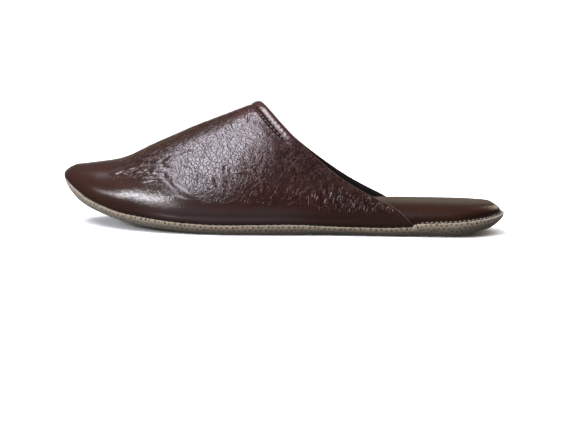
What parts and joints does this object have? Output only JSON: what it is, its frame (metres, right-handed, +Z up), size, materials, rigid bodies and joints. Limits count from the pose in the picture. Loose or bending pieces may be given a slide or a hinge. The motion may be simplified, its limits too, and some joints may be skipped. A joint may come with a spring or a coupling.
{
  "type": "travel slipper",
  "caption": "Backless leather travel slipper with a slanting collar, a hollow crinkled vamp, a padded insole and a soft suede sole that turns up to the seam.",
  "frame": {"origin": "on the floor under the middle of the slipper's bounding box", "axes": "+X from heel to toe, +Y to the outer side (the wearer's left), +Z up"},
  "size_m": [0.28, 0.0984, 0.0795],
  "materials": {
    "suede": "matt",
    "pad_leather": "satin",
    "upper_leather": "glossy",
    "lining": "matt",
    "thread": "matt"
  },
  "bodies": {
    "root": {"outsole": "suede", "insole": "pad_leather", "upper": "upper_leather"}
  },
  "joints": []
}
